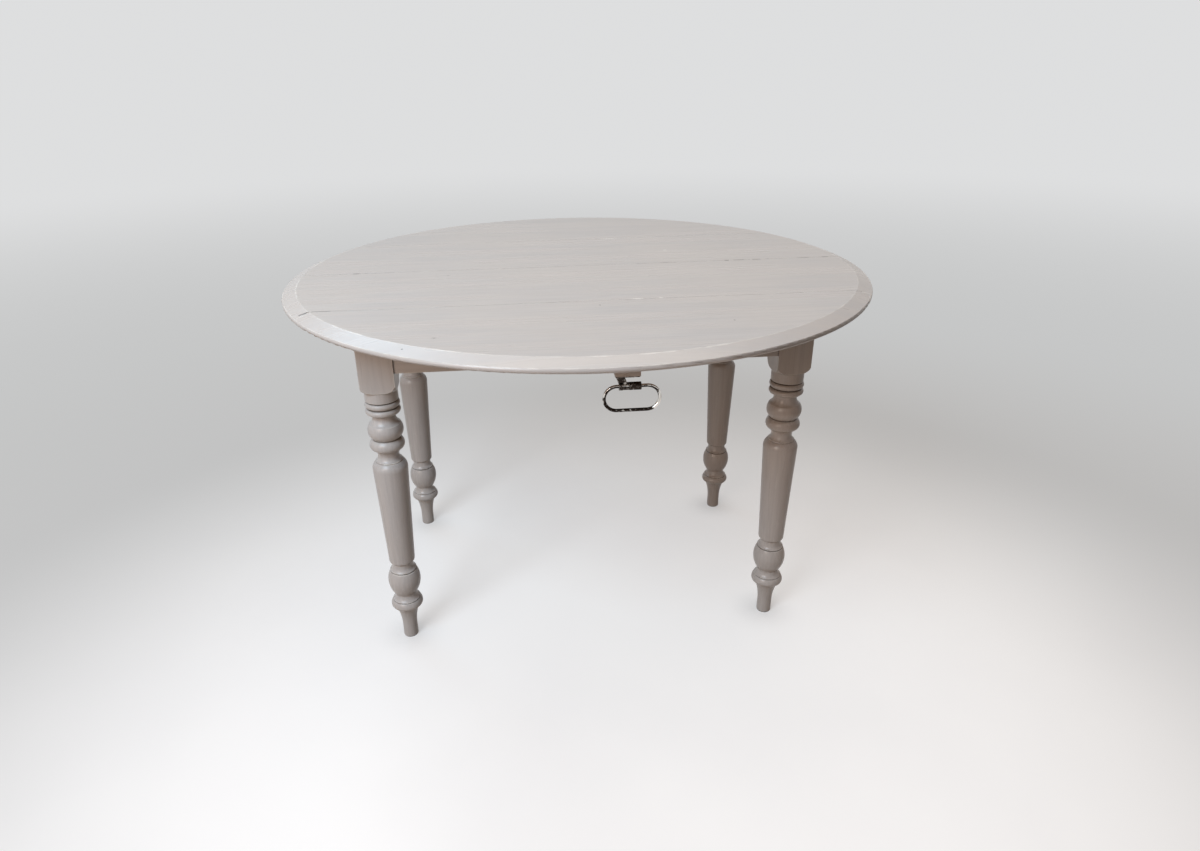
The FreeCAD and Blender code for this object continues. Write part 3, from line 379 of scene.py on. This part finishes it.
def ring_with_painted_light(name, node_name, gleam_side):
    """Steel wire with painted light: lighter where it faces out and up, with a painted highlight on
    one side and small pale flecks, and a dark painted reflection where it faces in and down.
    """
    low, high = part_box(node_name)
    shader = new_material(name)
    offset = shader.vectors("SUBTRACT", shader.place, (low + high) / 2)
    outwards = shader.add("ShaderNodeVectorMath", {0: offset}, operation="NORMALIZE")
    patches = shader.noise(130.0, detail=3.0, roughness=0.6)
    flecks = shader.noise(520.0, detail=1.0)
    # Painted light: lighter where the wire faces outwards and up, darker where it faces in and
    # down.
    lighter_patches = shader.maths(
        "ADD", shader.maths("MULTIPLY", shader.dot(shader.facing, outwards), 0.7),
        shader.maths("MULTIPLY", shader.dot(shader.facing, ALONG_Z), 0.7))
    lighter_patches = shader.ragged(lighter_patches, patches, 2.4)
    # A painted highlight on one side of the wire.
    gleam = shader.steps(shader.dot(outwards, gleam_side), 0.90, 0.96)
    lighter_patches = shader.maths("ADD", lighter_patches, gleam)
    painted_light = shader.maths("ADD", shader.steps(lighter_patches, 0.30, 0.70),
                          shader.steps(flecks, 0.62, 0.70, 0.0, 0.35))
    painted_light = shader.maths("MINIMUM", painted_light, 1.0)
    smoothest, roughest = RING_ROUGHNESS
    surface = shader.add("ShaderNodeBsdfPrincipled", {
        "Base Color": shader.mix(painted_light, DARK_REFLECTION, BRIGHT_STEEL),
        "Metallic": 1.0,
        "Roughness": shader.steps(painted_light, 0.0, 1.0, roughest, smoothest)})
    return shader.finish(surface)


def dress(node_name, material):
    """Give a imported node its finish, on every slot that it has."""
    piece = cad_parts[node_name]
    if not piece.material_slots:
        piece.data.materials.append(material)
    for slot in piece.material_slots:
        slot.material = material


# Marks on the boards, in millimetres: X and Y of the middle, half sizes along X and Y, and colour.
TOP_MARKS = {
    "front": [
        (88.0, -272.6, 12.0, 3.4, PAINT_CHIP_AND_HIGHLIGHT),
        (132.0, -273.0, 3.5, 3.0, PAINT_CHIP_AND_HIGHLIGHT),
        (519.0, -273.8, 12.0, 1.6, PAINT_CHIP_AND_HIGHLIGHT),
        (-588.0, -4.0, 4.0, 3.0, PAINT_CHIP_AND_HIGHLIGHT),
        (-268.0, -45.0, 2.2, 1.4, CREASE_SHADE_AND_SPECKS),
    ],
    "rear": [
        (103.0, 271.6, 20.0, 4.6, PAINT_CHIP_AND_HIGHLIGHT),
        (216.0, 122.0, 4.0, 3.6, PAINT_CHIP_AND_HIGHLIGHT),
    ],
}
LEAF_MARKS = {
    "front": [
        (-315.0, -490.0, 1.6, 1.4, CREASE_SHADE_AND_SPECKS),
        (-317.0, -518.0, 1.3, 1.2, CREASE_SHADE_AND_SPECKS),
        (-299.0, -529.0, 1.7, 1.5, CREASE_SHADE_AND_SPECKS),
        (-268.0, -453.0, 3.5, 1.6, CREASE_SHADE_AND_SPECKS),
        (228.0, -425.0, 1.8, 1.8, CREASE_SHADE_AND_SPECKS),
        (16.0, -304.0, 2.2, 2.0, CREASE_SHADE_AND_SPECKS),
        (-513.0, -277.0, 10.0, 1.5, PAINT_GRIME),
    ],
    "rear": [],
}
# Dirt in the seams: stretches along X, each with its start and end in millimetres and its depth.
SPLIT_DIRT = [
    (-473.0, -458.0, 0.75), (-449.0, -444.0, 0.3), (186.0, 201.0, 0.45), (210.0, 214.0, 0.3),
    (323.0, 330.0, 1.0), (339.0, 363.0, 0.6), (372.0, 376.0, 0.3), (380.0, 403.0, 0.7),
    (415.0, 418.0, 0.5), (480.0, 509.0, 0.5), (536.0, 552.0, 0.7)]
FRONT_JOINT_DIRT = [
    (-524.0, -504.0, 0.75), (-500.0, -468.0, 0.7), (-460.0, -440.0, 0.2), (-150.0, -20.0, 0.1)]
# The dirty seams that each half of the top borders on: their place along Y and their dirt.
SPLIT = 0.0
FRONT_JOINT = -275.0
SEAMS = {
    "front": [(SPLIT, SPLIT_DIRT), (FRONT_JOINT, FRONT_JOINT_DIRT)],
    "rear": [(SPLIT, SPLIT_DIRT)],
}
STEEL_KINDS = ("button_screws", "runner_screws", "hinge_screws", "leaf_screws", "hook_screws",
               "bracket_screws", "prop_bolt", "hinge_pins")


def dress_half(half, inwards):
    """Finish the boards, aprons, legs and fittings of one half of the table."""
    dress(f"{half}_top", painted(f"{half}_top_paint", "X", DOWN, TOP_MARKS[half], SEAMS[half],
                                 has_bevel=True))
    dress(f"{half}_leaf", painted(f"{half}_leaf_paint", "X", DOWN, LEAF_MARKS[half],
                                  has_bevel=True))
    dress(f"{half}_long_apron", painted(f"{half}_long_apron_paint", "X", (0.0, inwards, 0.0)))
    for side, towards_middle in SIDES.items():
        apron = f"{half}_{side}_apron"
        dress(apron, painted(f"{apron}_paint", "Y", (towards_middle, 0.0, 0.0)))
        dress(f"{half}_{side}_leg", leg_paint)
        dress(f"{half}_{side}_runner", wood_along["Y"])
    dress(f"{half}_corner_blocks", wood_along["X"])
    dress(f"{half}_top_buttons", wood_along["Y"])
    dress(f"{half}_prop", prop_wood)
    for kind in STEEL_KINDS:
        dress(f"{half}_{kind}", dull_steel)
    dress(f"{half}_hinge_plates", hinge_steel)
    dress(f"{half}_leaf_hinge_plates", hinge_steel)
    dress(f"{half}_ring_bracket", dark_iron)
    gleam_side = (inwards * 0.99, 0.0, -0.12)
    dress(f"{half}_ring", ring_with_painted_light(f"{half}_ring_steel", f"{half}_ring", gleam_side))


leg_paint = painted("leg_paint", "Z", streaks=1.6)
wood_along = {axis: timber(f"timber_along_{axis}", axis) for axis in AXES}
prop_wood = timber("prop_wood", "Y", SUPPORT_PAINTED_FROM)
dull_steel = metal("dull_steel", rgb(0.50, 0.48, 0.46), rgb(0.24, 0.21, 0.18),
                   roughness=0.38, dull_from=0.515, softness=0.4)
hinge_steel = metal("hinge_steel", rgb(0.36, 0.34, 0.32), rgb(0.17, 0.145, 0.125),
                    roughness=0.42, dull_from=0.475, softness=0.45)
# On the bracket's dark iron, the pale metal left between the patina's patches is painted glints.
dark_iron = metal("dark_iron", rgb(0.58, 0.53, 0.48), rgb(0.035, 0.026, 0.021),
                  roughness=0.26, dull_from=0.415, softness=0.15)

for half, inwards in HALVES.items():
    dress_half(half, inwards)
dress("alignment_tongues", wood_along["Y"])
for side in SIDES:
    dress(f"{side}_middle_runner", wood_along["Y"])
    dress(f"{side}_lock_hook", hinge_steel)


# The background, for the rays that see it.
SEEN_WORLD = rgb(0.73, 0.735, 0.74)
# The world's own light: the side it comes from and its colour, and how narrow each light is.
WORLD_LIGHTS = [
    ((0.0, 0.0, 1.0), rgb(0.42, 0.20, 0.08)),
    ((0.45, 1.0, 0.0), rgb(0.17, 0.16, 0.15)),
]
WORLD_LIGHT_POWER = 3.0


def make_world():
    """Soft light from above and behind, and a pale background for the rays that see it."""
    world = bpy.data.worlds.new("studio")
    bpy.context.scene.world = world
    nodes = Nodes(world)
    light = BLACK
    for towards, colour in WORLD_LIGHTS:
        facing = nodes.dot(nodes.direction, Vector(towards).normalized())
        spread = nodes.maths("POWER", nodes.maths("MAXIMUM", facing, 0.0), WORLD_LIGHT_POWER)
        light = nodes.mix(spread, light, colour, blend_type="ADD")
    colour = nodes.mix(nodes.is_seen(), light, SEEN_WORLD)
    background = nodes.add("ShaderNodeBackground", {"Color": colour})
    nodes.finish(background, "ShaderNodeOutputWorld")


FLOOR_RADIUS = 60.0
FLOOR_SIDES = 96
# The pool of light that the table stands in: its middle and the two tones mottled in it.
POOL_MIDDLE = (0.05, -0.55, 0.0)
POOL_TONES = (rgb(0.94, 0.94, 0.945), rgb(0.99, 0.99, 0.99))
FLOOR_FAR = rgb(0.56, 0.565, 0.565)
FLOOR_SHADE = rgb(0.40, 0.40, 0.405)
# What the floor sends back onto the underside and legs: less than its pale look would.
FLOOR_BOUNCE = rgb(0.33, 0.27, 0.215)
# Distances from the pool's middle: where the pool fades out, where the background takes over,
# and where the floor's own light comes down to the background's and all its shading is lost.
POOL_FADE = (0.5, 1.75)
BACKGROUND_FADE = (2.2, 9.0)
GLOW_FADE = (1.2, 3.0)
NEAR_GLOW = 1.22
NEAR_SHADING_LOST = 0.5
CONTACT_REACH = 90.0 * MM


def pale_floor():
    """A matt floor whose look is mostly its own pale tone, and which is clear from below."""
    shader = new_material("floor_pale")
    seen = shader.is_seen()
    far = shader.vectors("DISTANCE", shader.place, POOL_MIDDLE, output="Value")
    mottling = shader.noise(1.4, detail=5.0)
    pale = shader.mix(shader.steps(mottling, 0.3, 0.7), *POOL_TONES)
    pale = shader.mix(shader.steps(far, *POOL_FADE), pale, FLOOR_FAR)
    pale = shader.mix(shader.steps(far, *BACKGROUND_FADE), pale, SEEN_WORLD)
    matt = shader.add("ShaderNodeBsdfDiffuse", {"Color": shader.mix(seen, FLOOR_BOUNCE, pale)})

    # A painted contact shadow darkens the floor where a foot stands on it.
    contact = shader.openness(CONTACT_REACH, samples=12)
    shaded = shader.mix(shader.steps(contact, 0.97, 0.72, 0.0, 0.4), pale, FLOOR_SHADE)
    glow = shader.add("ShaderNodeEmission", {
        "Color": shaded, "Strength": shader.steps(far, *GLOW_FADE, NEAR_GLOW, 1.0)})
    # Near the table the seen floor keeps half of its shading, and with it the table's shadow.
    shading_lost = shader.steps(far, *GLOW_FADE, NEAR_SHADING_LOST, 1.0)
    shading_lost = shader.maths("MULTIPLY", shading_lost, seen)
    surface = shader.add("ShaderNodeMixShader", {0: shading_lost, 1: matt, 2: glow})
    # From below the floor is clear, so that the table's underside can be looked at.
    seen_from_below = shader.add("ShaderNodeNewGeometry", {}, output="Backfacing")
    clear = shader.add("ShaderNodeBsdfTransparent", {})
    return shader.finish(
        shader.add("ShaderNodeMixShader", {0: seen_from_below, 1: surface, 2: clear}))


def make_floor():
    """A wide floor that fades into the background far behind the table."""
    mesh = bpy.data.meshes.new("floor")
    shape = bmesh.new()
    bmesh.ops.create_circle(shape, cap_ends=True, segments=FLOOR_SIDES, radius=FLOOR_RADIUS)
    shape.to_mesh(mesh)
    shape.free()
    floor = bpy.data.objects.new("floor", mesh)
    bpy.context.scene.collection.objects.link(floor)
    mesh.materials.append(pale_floor())


# Square lamps: name, place, the point that each one faces, side, watts and colour.
LAMPS = [
    ("left_front_window", (-1.7, -2.2, 1.5), (0.0, -0.1, 0.45), 1.2, 21.4, (1.0, 0.806, 0.69)),
    ("high_left_window", (-1.5, -1.9, 2.6), (0.0, -0.1, 0.6), 1.2, 51.6, (0.667, 0.848, 1.0)),
    ("rear_left_window", (-1.3, 1.5, 2.7), (-0.25, -0.45, 0.7), 1.2, 14.5, (0.497, 0.775, 1.0)),
    ("overhead", (0.2, 0.2, 3.2), (0.1, 0.0, 0.7), 2.6, 27.5, (0.99, 1.0, 0.94)),
]


def make_lamps():
    """Cool light high on the left and behind, warmer light ahead and soft light from above."""
    for name, place, target, side, watts, colour in LAMPS:
        lamp = bpy.data.lights.new(name, "AREA")
        lamp.shape = "SQUARE"
        lamp.size = side
        lamp.energy = watts
        lamp.color = colour
        holder = bpy.data.objects.new(name, lamp)
        bpy.context.scene.collection.objects.link(holder)
        holder.location = place
        towards = Vector(target) - Vector(place)
        holder.rotation_euler = towards.to_track_quat("-Z", "Y").to_euler()


# The photograph's size in pixels, and the lens and stand that the table's outline in it gives.
FRAME_WIDTH = 1200
FRAME_HEIGHT = 851
FOCAL_PIXELS = 790.9
CENTRE_ACROSS = 572.4
CENTRE_DOWN = 427.0
SENSOR_WIDTH = 36.0
CAMERA_PLACE = (-0.1448, -1.6718, 1.1485)
CAMERA_PITCH = math.radians(24.806)
CAMERA_ROLL = math.radians(-1.050)
CAMERA_YAW = math.radians(-4.480)


def make_camera():
    """The camera that took the photograph."""
    lens = bpy.data.cameras.new("camera")
    lens.sensor_width = SENSOR_WIDTH
    lens.lens = FOCAL_PIXELS * SENSOR_WIDTH / FRAME_WIDTH
    lens.shift_x = (FRAME_WIDTH / 2 - CENTRE_ACROSS) / FRAME_WIDTH
    lens.shift_y = (CENTRE_DOWN - FRAME_HEIGHT / 2) / FRAME_WIDTH
    camera = bpy.data.objects.new("camera", lens)
    bpy.context.scene.collection.objects.link(camera)
    bpy.context.scene.camera = camera

    forward = Vector((-math.sin(CAMERA_YAW) * math.cos(CAMERA_PITCH),
                      math.cos(CAMERA_YAW) * math.cos(CAMERA_PITCH),
                      -math.sin(CAMERA_PITCH)))
    level = Vector((math.cos(CAMERA_YAW), math.sin(CAMERA_YAW), 0.0))
    upright = level.cross(forward)
    right = math.cos(CAMERA_ROLL) * level + math.sin(CAMERA_ROLL) * upright
    up = -math.sin(CAMERA_ROLL) * level + math.cos(CAMERA_ROLL) * upright
    turn = Matrix((right, up, -forward)).transposed().to_4x4()
    camera.matrix_world = Matrix.Translation(CAMERA_PLACE) @ turn


make_world()
make_floor()
make_lamps()
make_camera()
bpy.context.scene.view_settings.view_transform = "Standard"
